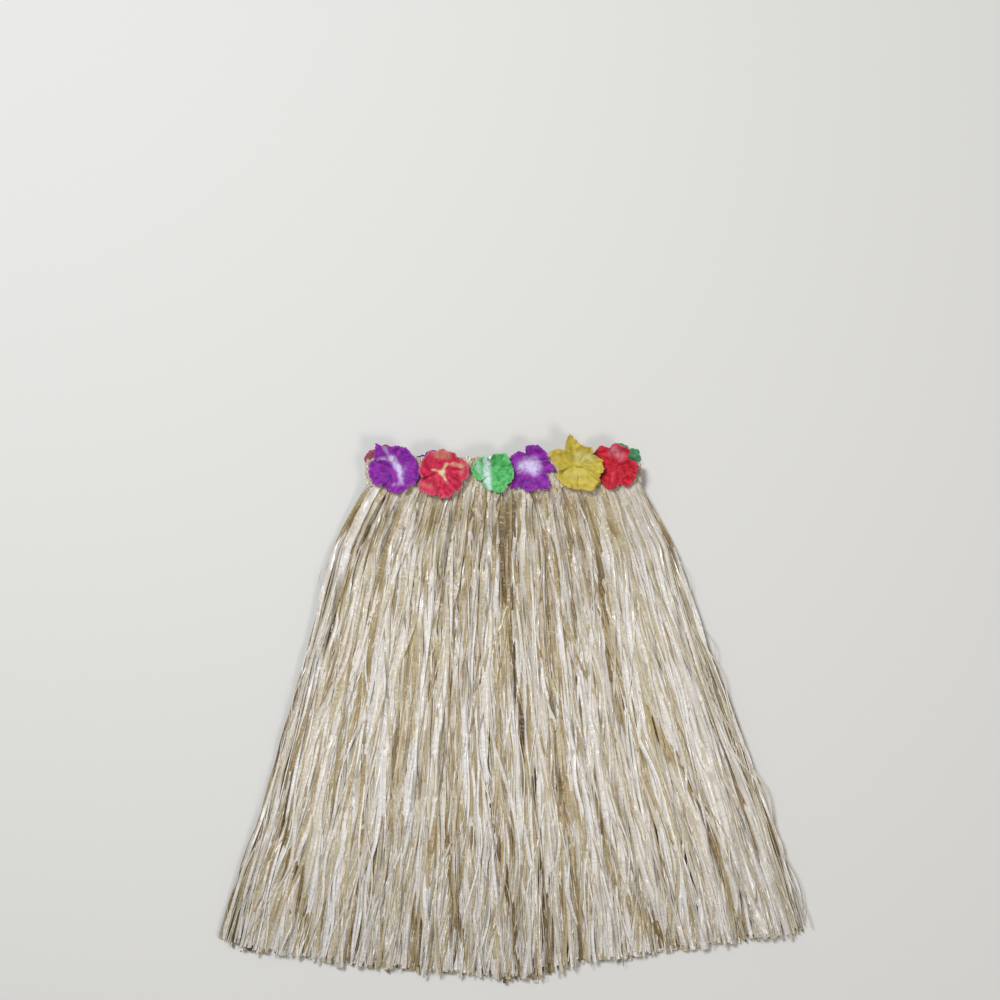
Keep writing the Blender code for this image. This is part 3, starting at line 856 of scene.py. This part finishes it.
@dataclass
class Grass:
    """All the raffia: four layers, each sewn to its own heading, and the ends turned over the tape."""

    waist: Waist
    pieces: list[bpy.types.Object] = field(default_factory=list)

    def rows(self) -> tuple[tuple[Ribbons, str, str], ...]:
        """List the crowds of ribbons, with the node that each stands for and its finish."""
        top = {"steps": 72, "waist": self.waist}
        under = {"profile": Profile.RIDGE, "sink": 0.0, "waist": self.waist}
        flat = Ribbons(
            "raffia_front_outer_flat",
            290,
            (6.0, 7.2),
            101,
            Profile.RIDGE,
            widths=(6 * MM, 17 * MM),
            slant=0.03,
            **top,
        )
        folded = Ribbons(
            "raffia_front_outer_folded",
            280,
            (6.4, 8.0),
            102,
            Profile.LEAN,
            widths=(5 * MM, 14 * MM),
            slant=0.045,
            loop=7 * MM,
            **top,
        )
        stray = Ribbons(
            "raffia_front_outer_stray",
            280,
            (7.2, 8.6),
            103,
            Profile.LEAN,
            widths=(2.4 * MM, 9 * MM),
            wander=16 * MM,
            turn=0.7,
            lift=1.6 * MM,
            slant=0.085,
            loop=13 * MM,
            **top,
        )
        inner = Ribbons("raffia_front_inner", 520, (3.4, 5.2), 104, steps=34, **under)
        back_inner = Ribbons("raffia_back_inner", 420, (1.9, 3.4), 105, steps=26, **under)
        back_outer = Ribbons("raffia_back_outer", 560, (0.0, 1.8), 106, steps=36, **under)
        ends = TurnedEnds(
            "raffia_turned_ends",
            330,
            (0.0, 0.4),
            107,
            Profile.RIDGE,
            widths=(1.8 * MM, 5.0 * MM),
            steps=9,
            waist=self.waist,
        )
        return (
            (flat, "grass_front_outer", "pale"),
            (folded, "grass_front_outer", "pale"),
            (stray, "grass_front_outer", "pale"),
            # The inner layers take the tones painted darker as painted shade
            (inner, "grass_front_inner", "shaded_inner"),
            (back_inner, "grass_back_inner", "shaded_inner"),
            (back_outer, "grass_back_outer", "pale"),
            (ends, "waistband_front", "pale"),
        )

    def build(self) -> list[bpy.types.Object]:
        """Make every crowd of ribbons and put it in the place of its solid."""
        finishes = {
            "pale": RaffiaFinish("raffia film, bleached and crinkled", BLEACHED).build(),
            # The second finish is the film painted darker as painted shade, for the inner layers
            "shaded_inner": RaffiaFinish("raffia film, crinkled, painted darker as shade", SHADED_INNER_TONES).build(),
        }
        for ribbons, node, finish in self.rows():
            piece = piece_from(ribbons.name, ribbons.build(), finishes[finish])
            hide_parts(node)
            self.pieces.append(piece)
            LOG.info("%s: %d ribbons, %d faces", piece.name, ribbons.count, len(piece.data.polygons))
        return self.pieces


@dataclass
class Waistband:
    """The elastic tape: one loop, pressed flat, gathered so that it stands in fine upright ribs."""

    waist: Waist
    rib_pitch: float = 5.0 * MM
    rib_depth: float = 0.8 * MM
    points_a_rib: int = 4
    arc_points: int = 8
    rows: int = 6
    uneven: float = 2.0 * MM
    thickness: float = 1.2 * MM

    def loop(self) -> list[tuple[float, float]]:
        """Outline of the loop seen along Y, on the inside of its wall, once round."""
        w = self.waist
        middle = (w.back_z + w.front_z) / 2
        bend = (w.front_z - w.back_z) / 2 - BAND_WALL - self.rib_depth
        flat = w.half_width - bend - BAND_WALL
        ribs = round(2 * flat / self.rib_pitch)
        run = []
        for step in range(ribs * self.points_a_rib + 1):
            part = step / (ribs * self.points_a_rib)
            wave = 0.5 - 0.5 * math.cos(2 * math.pi * part * ribs)
            deep = self.rib_depth * wave * (0.6 + 0.25 * math.sin(part * 61) + 0.15 * math.sin(part * 173))
            run.append((-flat + 2 * flat * part, bend + deep))
        turn = []
        for step in range(1, self.arc_points):
            angle = math.pi / 2 - math.pi * step / self.arc_points
            turn.append((flat + bend * math.cos(angle), bend * math.sin(angle)))
        half = run + turn
        whole = half + [(-x, -z) for x, z in half]
        return [(w.x + x, middle + z) for x, z in whole]

    def build(self) -> tuple[bpy.types.Object, float]:
        """Extrude the loop up the height of the tape and give it its wall.

        Returns:
            The piece, and the real length of the tape round the loop.
        """
        w = self.waist
        outline = self.loop()
        bm = bmesh.new()
        points = [bm.verts.new((x, w.y, z)) for x, z in outline]
        edges = [bm.edges.new((points[k - 1], points[k])) for k in range(len(points))]
        length = sum(edge.calc_length() for edge in edges)
        for _ in range(self.rows):
            made = bmesh.ops.extrude_edge_only(bm, edges=edges)["geom"]
            upper = [v for v in made if isinstance(v, bmesh.types.BMVert)]
            edges = [e for e in made if isinstance(e, bmesh.types.BMEdge)]
            edges = [e for e in edges if all(v in upper for v in e.verts)]
            bmesh.ops.translate(bm, verts=upper, vec=(0, w.height / self.rows, 0))
        for vert in bm.verts:
            edge = abs((vert.co.y - w.y) / w.height * 2 - 1)
            if vert.co.y > w.y + w.height / 2:
                place = Vector((vert.co.x * 140, vert.co.z * 60, 3))
                vert.co.y += noise.noise(place) * self.uneven * edge**4
                vert.co.y += float(w.sag(vert.co.x)) * ((vert.co.y - w.y) / w.height)
        bmesh.ops.recalc_face_normals(bm, faces=bm.faces)
        mesh = bpy.data.meshes.new("waistband_tape")
        bm.to_mesh(mesh)
        bm.free()
        piece = piece_from("waistband_tape", mesh, TapeFinish().build())
        wall = piece.modifiers.new("wall", "SOLIDIFY")
        wall.thickness = self.thickness
        wall.offset = 1
        mesh.shade_smooth()
        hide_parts("waistband_front", "waistband_back")
        LOG.info("%s: %.3f m round", piece.name, length)
        return piece, length


@dataclass(frozen=True)
class Petal:
    """One lobe of a flower, and the notch that follows it counterclockwise.

    Directions are in degrees, lengths in metres. A breadth under 1 is a broad petal with sharp
    notches beside it, and one over 1 is a pointed petal.
    """

    tip: float
    reach: float
    breadth: float
    lift: float
    notch: float
    notch_reach: float


@dataclass(frozen=True)
class Streak:
    """A line on a petal where the dye is thin: its two ends, half width and strength.

    A strength over zero is mostly thin dye, and in places a painted highlight; one under zero is painted
    shade, in folds and where petals or other flowers cast their shadow.
    """

    start: tuple[float, float]
    end: tuple[float, float]
    half_width: float
    strength: float

    def at(self, x: float, y: float) -> float:
        """How much paler the cloth is painted at a place of the flower, for thin dye and painted highlights,
        and under zero how much darker, as painted shade.
        """
        run = (self.end[0] - self.start[0], self.end[1] - self.start[1])
        length = run[0] ** 2 + run[1] ** 2
        share = ((x - self.start[0]) * run[0] + (y - self.start[1]) * run[1]) / length
        share = min(1.0, max(0.0, share))
        away = math.hypot(x - self.start[0] - share * run[0], y - self.start[1] - share * run[1])
        return self.strength * math.exp(-((away / self.half_width) ** 2))


@dataclass
class Flower:
    """One cloth flower, cut from a single piece of starched cloth and tacked at its centre."""

    node: str
    slot: str
    finish: PetalFinish
    petals: tuple[Petal, ...]
    streaks: tuple[Streak, ...] = ()
    overlap: float = 2.6 * MM
    crumple: float = 3.2 * MM
    seat: float = 1.3 * MM
    fold: float = 3.5 * MM
    pressed: bool = False
    seed: int = 1
    steps: int = 168
    rings: int = 16
    thickness: float = 0.45 * MM
    clear: float = 0.1 * MM
    middle: tuple[float, float] | None = None

    def grain(self, spot: Vector, offset: float = 0.0) -> float:
        """Noise at a place, another one for each flower and offset."""
        return noise.noise(spot + Vector((0, 0, self.seed + offset)))

    def locate(self, direction: float) -> tuple[int, float, float]:
        """Find the petal that a direction falls in.

        Args:
            direction: Direction in degrees.

        Returns:
            Number of the petal, place in it from -1 to 1 with 0 at its tip, and the cloth's reach.
        """
        for number, petal in enumerate(self.petals):
            before = self.petals[number - 1]
            start = (petal.tip - before.notch) % 360
            stop = (petal.notch - petal.tip) % 360
            turn = (direction - petal.tip + 180) % 360 - 180
            if -start <= turn <= 0:
                place, notch_reach = turn / start, before.notch_reach
            elif 0 < turn <= stop:
                place, notch_reach = turn / stop, petal.notch_reach
            else:
                continue
            inward = 1 - abs(place)
            blunt = math.sin(math.pi / 2 * inward) ** petal.breadth
            full = blunt if petal.breadth <= 1 else inward ** (petal.breadth - 0.3)
            return number, place, notch_reach + (petal.reach - notch_reach) * full
        raise ValueError(f"{self.node}: no petal at {direction}")

    def height(self, number: int, place: float, share: float, spot: Vector) -> float:
        """Height of the cloth over its seat.

        Args:
            number: Number of the petal.
            place: Place across the petal, from -1 to 1.
            share: Place out from the centre, from 0 to 1.
            spot: Place in plan, for the crumples.

        Returns:
            The height.
        """
        petal = self.petals[number]
        beside = self.petals[(number + (1 if place > 0 else -1)) % len(self.petals)]
        rise = max(0.0, share - 0.16) / 0.84
        edge = abs(place)
        lift = petal.lift + (beside.lift - petal.lift) * 0.5 * edge**2
        shape = lift * rise**1.15
        # One side of each petal lies over its neighbour, the other side lies under
        shape += self.overlap * place * edge**1.5 * rise**0.7 * min(1.0, share * 2.2)
        # A crease down the middle, and a rim that curls
        shape -= 0.5 * MM * max(0.0, 1 - edge * 3.5) ** 1.5 * math.sin(math.pi * min(1.0, share * 1.05))
        shape += 2.0 * MM * rise**4 * math.sin(5.1 * place + 1.7 * number + self.seed)
        ridge = 1 - abs(self.grain(spot * 72)) * 2.4
        fine = 1 - abs(self.grain(spot * 170, 9)) * 2.4
        shape += self.crumple * rise**0.6 * (0.85 * ridge + 0.30 * fine)
        return shape + self.seat

    def build(self) -> bpy.types.Object:
        """Shape the cloth from a flat disc inside its solid's box, and give it its wall."""
        low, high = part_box(self.node)
        bm = bmesh.new()
        spoke = [bm.verts.new((ring / self.rings, 0, 0)) for ring in range(self.rings + 1)]
        edges = [bm.edges.new(pair) for pair in zip(spoke, spoke[1:])]
        bmesh.ops.spin(
            bm,
            geom=spoke + edges,
            axis=(0, 0, 1),
            cent=(0, 0, 0),
            angle=2 * math.pi,
            steps=self.steps,
            use_merge=True,
        )
        bmesh.ops.remove_doubles(bm, verts=bm.verts, dist=1e-5)
        bmesh.ops.recalc_face_normals(bm, faces=bm.faces)
        if next(iter(bm.faces)).normal.z < 0:
            bmesh.ops.reverse_faces(bm, faces=bm.faces)
        pale = bm.verts.layers.float.new("pale")
        out = bm.verts.layers.float.new("out")
        centre = self.centre(low, high)
        for vert in bm.verts:
            share = min(1.0, math.hypot(vert.co.x, vert.co.y))
            angle = math.atan2(vert.co.y, vert.co.x)
            number, place, reach = self.locate(math.degrees(angle))
            round_place = Vector((math.cos(angle), math.sin(angle), 0.0))
            frayed = 1 + 0.07 * self.grain(round_place * 3.2)
            frayed += 0.05 * self.grain(round_place * 11, 5)
            frayed += 0.035 * self.grain(round_place * 29, 8)
            radius = share * reach * frayed
            x, y = radius * math.cos(angle), radius * math.sin(angle)
            vert[out] = share
            spot = Vector((x, y, 0.0))
            veins = 0.3 + 1.2 * self.grain(round_place * 13, 3.2 * share)
            veins = 0.10 * share * max(0.0, min(1.0, veins))
            patchy = 0.95 + 0.6 * self.grain(spot * 210, 6)
            # The streaks paint the cloth paler where its dye is thin, and in places as painted highlight;
            # their negative strengths paint shade in folds and cast shadows
            vert[pale] = min(1.0, veins + patchy * sum(streak.at(x, y) for streak in self.streaks))
            if self.pressed:
                # Its middle stands up to the tape that it is tacked to
                height = (high[2] - low[2] - 1.2 * MM) * max(0.0, 1 - 2.2 * share) ** 1.5
                height += 0.8 * MM * (1 + noise.noise(spot * 120)) * share
            else:
                x += self.grain(spot * 75, 3) * self.fold * share
                y += self.grain(spot * 75, 40) * self.fold * share
                height = self.height(number, place, share, spot)
            vert.co = (centre[0] + x, centre[1] + y, low[2] + max(height, self.clear) + self.clear)
        area = sum(face.calc_area() for face in bm.faces)
        mesh = bpy.data.meshes.new(self.node)
        bm.to_mesh(mesh)
        bm.free()
        mesh.shade_smooth()
        piece = piece_from("cloth_" + self.node, mesh, self.finish.build())
        wall = piece.modifiers.new("wall", "SOLIDIFY")
        wall.thickness = self.thickness
        wall.offset = 1
        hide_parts(self.node)
        return piece

    def centre(self, low: Vector, high: Vector) -> tuple[float, float]:
        """Middle of the flower: as given from the waist's middle, or from its solid's box."""
        if self.middle:
            waist = Waist.read()
            return waist.x + self.middle[0], waist.y + self.middle[1]
        turns = [(math.radians(degree), self.locate(degree)[2]) for degree in range(360)]
        xs = [reach * math.cos(angle) for angle, reach in turns]
        ys = [reach * math.sin(angle) for angle, reach in turns]
        return (
            (low[0] + high[0]) / 2 - (min(xs) + max(xs)) / 2,
            (low[1] + high[1]) / 2 - (min(ys) + max(ys)) / 2,
        )


def petals(*rows: tuple[float, ...]) -> tuple[Petal, ...]:
    """Make petals from rows of tip, reach in mm, breadth, lift in mm, notch, and its reach in mm."""
    return tuple(Petal(row[0], row[1] * MM, row[2], row[3] * MM, row[4], row[5] * MM) for row in rows)


def streaks(*rows: tuple[float, ...]) -> tuple[Streak, ...]:
    """Make streaks from rows of both ends' x and y in mm, half width in mm and strength."""
    return tuple(
        Streak((row[0] * MM, row[1] * MM), (row[2] * MM, row[3] * MM), row[4] * MM, row[5]) for row in rows
    )


# Each finish: dye, deep blotches, thin dye, rim, and the colour painted as shade in folds and cast shadows
PURPLE = PetalFinish("petal cloth, dyed violet", "#9A2BAC", "#70188E", "#D2C4EC", "#A644C0", "#43085F")
CORAL = PetalFinish("petal cloth, dyed coral red", "#D8345A", "#AE143C", "#DCD6A6", "#E07C90", "#8A0A22")
GREEN = PetalFinish("petal cloth, dyed leaf green", "#6CC678", "#41A655", "#D2E6E8", "#8AD494", "#2E7D42")
YELLOW = PetalFinish("petal cloth, dyed yellow", "#CCBD52", "#B8A53F", "#CFC794", "#D6A040", "#9A6A1C")
RED = PetalFinish("petal cloth, dyed red", "#D61E36", "#A20A22", "#E29AAC", "#DE4A62", "#6E0612")
PINK = PetalFinish("petal cloth, dyed rose", "#B0506A", "#8A3650", "#D8AEB0", "#B85C74", "#6A2438")
BLUE_VIOLET = PetalFinish(
    "petal cloth, dyed blue violet", "#5A2A90", "#3E1A74", "#B5A5E2", "#4E2796", "#260C50"
)
SEA_GREEN = PetalFinish("petal cloth, dyed sea green", "#4E9A6C", "#38784F", "#A8C8B4", "#5CA87C", "#265A3A")

FRONT_FLOWERS = (
    Flower(
        "flower_purple_left",
        "purple_cloth",
        PURPLE,
        petals(
            (-155, 40, 0.45, 8, -120, 26),
            (-84, 40, 0.40, 3, -48, 32.5),
            (-20, 40, 0.50, 6, 8, 32),
            (54, 34, 0.45, 9, 96, 31),
            (129, 50, 2.60, 12, 160, 34.5),
        ),
        # Rows with a strength under zero are painted shade in creases and folds
        streaks(
            (-17, 33, -5, 17, 3.0, 0.55),
            (-3, 15, 5, 1, 5.2, 0.90),
            (5, 1, 10, -17, 4.4, 0.80),
            (-25, 12, -12, 14, 4.5, 0.40),
            (14, -4, 20, 2, 5.0, 0.20),
            (-2, -25, 14, -24, 3.5, 0.35),
            (-23, 8, -14, 8, 2.2, -0.6),
            (-16, 0, -6, -16, 5.0, -0.5),
            (33, 6, 36, -16, 3.5, -0.6),
        ),
        seed=3,
        middle=(-166.3 * MM, 16.5 * MM),
    ),
    Flower(
        "flower_coral",
        "coral_cloth",
        CORAL,
        petals(
            (-134, 44, 0.50, 6, -104, 35),
            (-84, 42, 0.50, 2, -56, 37),
            (-44, 38, 0.60, 6, -25, 33),
            (0, 41, 0.50, 11, 38, 28.5),
            (60, 33, 0.35, 9, 100, 29.5),
            (143, 36, 0.50, 10, 198, 32),
        ),
        # Rows with a strength under zero are painted shade in folds, among them the arc of shadow below the
        # pale petal
        streaks(
            (-4, -2, 1, -2, 3.4, 0.7),
            (0, 0, 5, 11, 2.6, 0.55),
            (5, 11, 16, 11, 2.6, 0.35),
            (16, 11, 27, 10, 3.6, 0.32),
            (-2, -1, -16, 3, 2.0, 0.5),
            (-1, -4, 4, -12, 2.2, 0.6),
            (4, -12, 8, -18, 1.8, 0.3),
            (-30, -20, -18, -24, 5.0, 0.22),
            (-10, 26, 8, 25, 6.0, 0.34),
            (26, -6, 30, 8, 6.0, 0.28),
            (-12, -14, -10, -26, 2.6, -0.5),
            (22, -6, 20, -20, 4.5, -0.4),
            (8, 5, 26, 3, 1.6, -0.5),
        ),
        seed=7,
        middle=(-93.0 * MM, 11.3 * MM),
    ),
    Flower(
        "flower_green",
        "green_cloth",
        GREEN,
        petals(
            (-102, 29, 0.70, 2, -90, 27),
            (-70, 32.5, 0.50, 3, -46, 30.5),
            (-8, 31.5, 0.40, 12, 18, 31),
            (42, 32, 0.45, 13, 102, 20),
            (120, 30, 0.90, 13, 140, 30.5),
            (166, 33.5, 0.45, 7, -148, 19),
        ),
        # Rows with a strength under zero are painted shade in folds
        streaks(
            (-10, 20, -10, -10, 6.4, 0.95),
            (-8, -12, -5, -26, 4.2, 0.7),
            (-24, 16, -21, 0, 5.0, 0.35),
            (3, -2, 8, -11, 3.0, -0.5),
            (12, 12, 20, 4, 3.0, -0.25),
            (-17, 20, -17, -2, 1.2, -0.4),
        ),
        seed=11,
        middle=(-15.8 * MM, 10.0 * MM),
    ),
    Flower(
        "flower_purple_right",
        "purple_cloth",
        PURPLE,
        petals(
            (-131, 42, 1.30, 1, -114, 31),
            (-88, 38, 0.60, 4, -66, 35.5),
            (-50, 43, 1.20, 3, -22, 27.5),
            (-7, 39.5, 1.10, 4, 20, 28.5),
            (72, 35, 0.45, 9, 108, 22),
            (154, 34, 0.80, 4, -166, 25),
        ),
        # Rows with a strength under zero are painted shade in folds
        streaks(
            (-10, 1, 9, 1, 9.0, 0.95),
            (4, -4, 8, -9, 6.0, 0.5),
            (-4, 10, 6, 12, 7.0, 0.35),
            (-14, -20, -2, -20, 4.0, -0.4),
            (4, -22, 14, -24, 4.0, -0.35),
            (2, 28, 20, 28, 4.0, -0.25),
        ),
        seed=16,
        middle=(39.7 * MM, 17.7 * MM),
    ),
    Flower(
        "flower_yellow",
        "yellow_cloth",
        YELLOW,
        petals(
            (-120, 38, 0.50, 7, -92, 36),
            (-50, 42, 0.45, 6, -30, 39),
            (-12, 39, 0.50, 13, 34, 29),
            (50, 36, 0.90, 13, 70, 28.5),
            (107, 49, 2.20, 14, 130, 33),
            (157, 48, 1.30, 12, -167, 30),
        ),
        # Rows with a strength under zero are painted shade: in the slit at the middle, along the edge where
        # the lower petals lie over the upper ones, and along a fold
        streaks(
            (0, 12, 20, 12, 8.0, 0.55),
            (-10, -14, 6, -12, 6.0, 0.3),
            (-1, -2, 8, -3.5, 1.5, -1.0),
            (-24, -3, -4, 0, 1.4, -0.3),
            (8, -2, 24, 2, 1.2, -0.2),
            (-9, 16, -10, 5, 1.6, -0.35),
        ),
        seed=19,
        middle=(113.0 * MM, 20.5 * MM),
    ),
    Flower(
        "flower_red",
        "red_cloth",
        RED,
        petals(
            (-108, 33.5, 0.55, 2, -81, 26),
            (-42, 36.5, 0.50, 4, -24, 31),
            (-12, 33, 0.90, 8, 36, 22),
            (76, 33.5, 0.45, 12, 110, 30.5),
            (140, 40, 0.80, 1, -164, 22.5),
        ),
        # Rows with a strength under zero are painted shade: the shadow that the yellow flower casts on the
        # left, and shade across the middle
        streaks(
            (-4, 24, 8, 16, 8.5, 0.46),
            # A painted highlight on the lower left petal
            (-4, -10, -5, -20, 3.2, 0.22),
            (-30, 24, -22, -2, 4.0, -0.8),
            (-22, -2, -18, -22, 3.5, -0.8),
            (-10, 3, 6, -2, 3.0, -0.3),
        ),
        seed=23,
        middle=(171.0 * MM, 19.0 * MM),
    ),
)
ROUND_PETALS = petals(
    (-126, 33, 0.5, 0, -90, 22),
    (-54, 33, 0.5, 0, -18, 22),
    (18, 32, 0.5, 0, 54, 22),
    (90, 27.5, 0.5, 0, 126, 22),
    (162, 32, 0.5, 0, -162, 22),
)
PALE_MIDDLE = streaks((-2, 0, 2, 0, 9.0, 0.6))


@dataclass
class Trim:
    """The flowers round the waistband: six on the front run, six pressed under the back run."""

    pieces: list[bpy.types.Object] = field(default_factory=list)

    def back(self) -> tuple[Flower, ...]:
        """List the flowers of the back run, which mostly lie hidden under it."""
        finishes = {
            "pink": PINK,
            "violet": BLUE_VIOLET,
            "yellow": YELLOW,
            "coral": CORAL,
            "purple": PURPLE,
            "green": SEA_GREEN,
        }
        return tuple(
            Flower(
                "flower_back_" + name,
                name + "_cloth",
                finish,
                ROUND_PETALS,
                PALE_MIDDLE,
                pressed=True,
                seed=31 + number,
                steps=72,
                rings=7,
            )
            for number, (name, finish) in enumerate(finishes.items())
        )

    def build(self) -> list[bpy.types.Object]:
        """Make every flower."""
        for flower in FRONT_FLOWERS + self.back():
            self.pieces.append(flower.build())
        return self.pieces


@dataclass
class Studio:
    """Pale floor, soft light from above and the camera straight over the skirt."""

    waist: Waist
    floor_side: float = 14.0

    def build(self) -> None:
        """Make the floor, the lights, the world and the camera."""
        self.floor()
        self.lamp("key softbox", (-1.4, 1.9, 3.8), 1.2, 148.0, "#FBFDFF")
        self.lamp("fill softbox", (1.8, -1.0, 3.6), 1.0, 40.0, "#FFF7EC")
        self.world(0.21)
        self.camera()

    def floor(self) -> None:
        """Lay the floor under the skirt."""
        bm = bmesh.new()
        bmesh.ops.create_grid(bm, x_segments=1, y_segments=1, size=self.floor_side / 2)
        mesh = bpy.data.meshes.new("floor")
        bm.to_mesh(mesh)
        bm.free()
        mesh.materials.append(FloorFinish().build())
        made = bpy.data.objects.new("floor", mesh)
        bpy.context.scene.collection.objects.link(made)

    @staticmethod
    def lamp(name: str, place: tuple[float, float, float], side: float, watts: float, colour: str) -> None:
        """Hang a square softbox that faces the skirt.

        Args:
            name: Name of the lamp.
            place: Where it hangs.
            side: Side of its square.
            watts: Its power.
            colour: sRGB hex colour of its light.
        """
        light = bpy.data.lights.new(name, "AREA")
        light.energy = watts
        light.color = linear(colour)[:3]
        light.size = side
        made = bpy.data.objects.new(name, light)
        made.location = place
        made.rotation_euler = Vector(place).to_track_quat("Z", "Y").to_euler()
        bpy.context.scene.collection.objects.link(made)

    @staticmethod
    def world(strength: float) -> None:
        """Light the scene evenly with a pale surround."""
        world = bpy.data.worlds.new("studio surround")
        world.use_nodes = True
        sky = world.node_tree.nodes["Background"]
        sky.inputs["Color"].default_value = linear("#FFFCF7")
        sky.inputs["Strength"].default_value = strength
        bpy.context.scene.world = world

    def camera(self) -> None:
        """Hang the camera over the middle of the photograph, with its scale on the skirt."""
        lens = bpy.data.cameras.new("camera")
        lens.sensor_width = SENSOR * 1000
        lens.lens = SENSOR * 1000 * CAMERA_HEIGHT / (PHOTO_SIDE_PX * PIXEL)
        made = bpy.data.objects.new("camera", lens)
        made.location = (
            self.waist.x + (VIEW_MIDDLE_PX[0] - WAIST_MIDDLE_PX[0]) * PIXEL,
            self.waist.y + (WAIST_MIDDLE_PX[1] - VIEW_MIDDLE_PX[1]) * PIXEL,
            CAMERA_HEIGHT,
        )
        bpy.context.scene.collection.objects.link(made)
        bpy.context.scene.camera = made


def main() -> None:
    """Dress the skirt round its CAD frame."""
    logging.basicConfig(level=logging.INFO, format="%(message)s")
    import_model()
    waist = Waist.read()
    Studio(waist).build()
    bpy.context.scene.view_settings.view_transform = "Standard"
    grass = Grass(waist).build()
    tape, round_loop = Waistband(waist).build()
    Trim().build()
    round(waist.height, 4)
    bpy.context.view_layer.update()


if __name__ == "__main__":
    main()
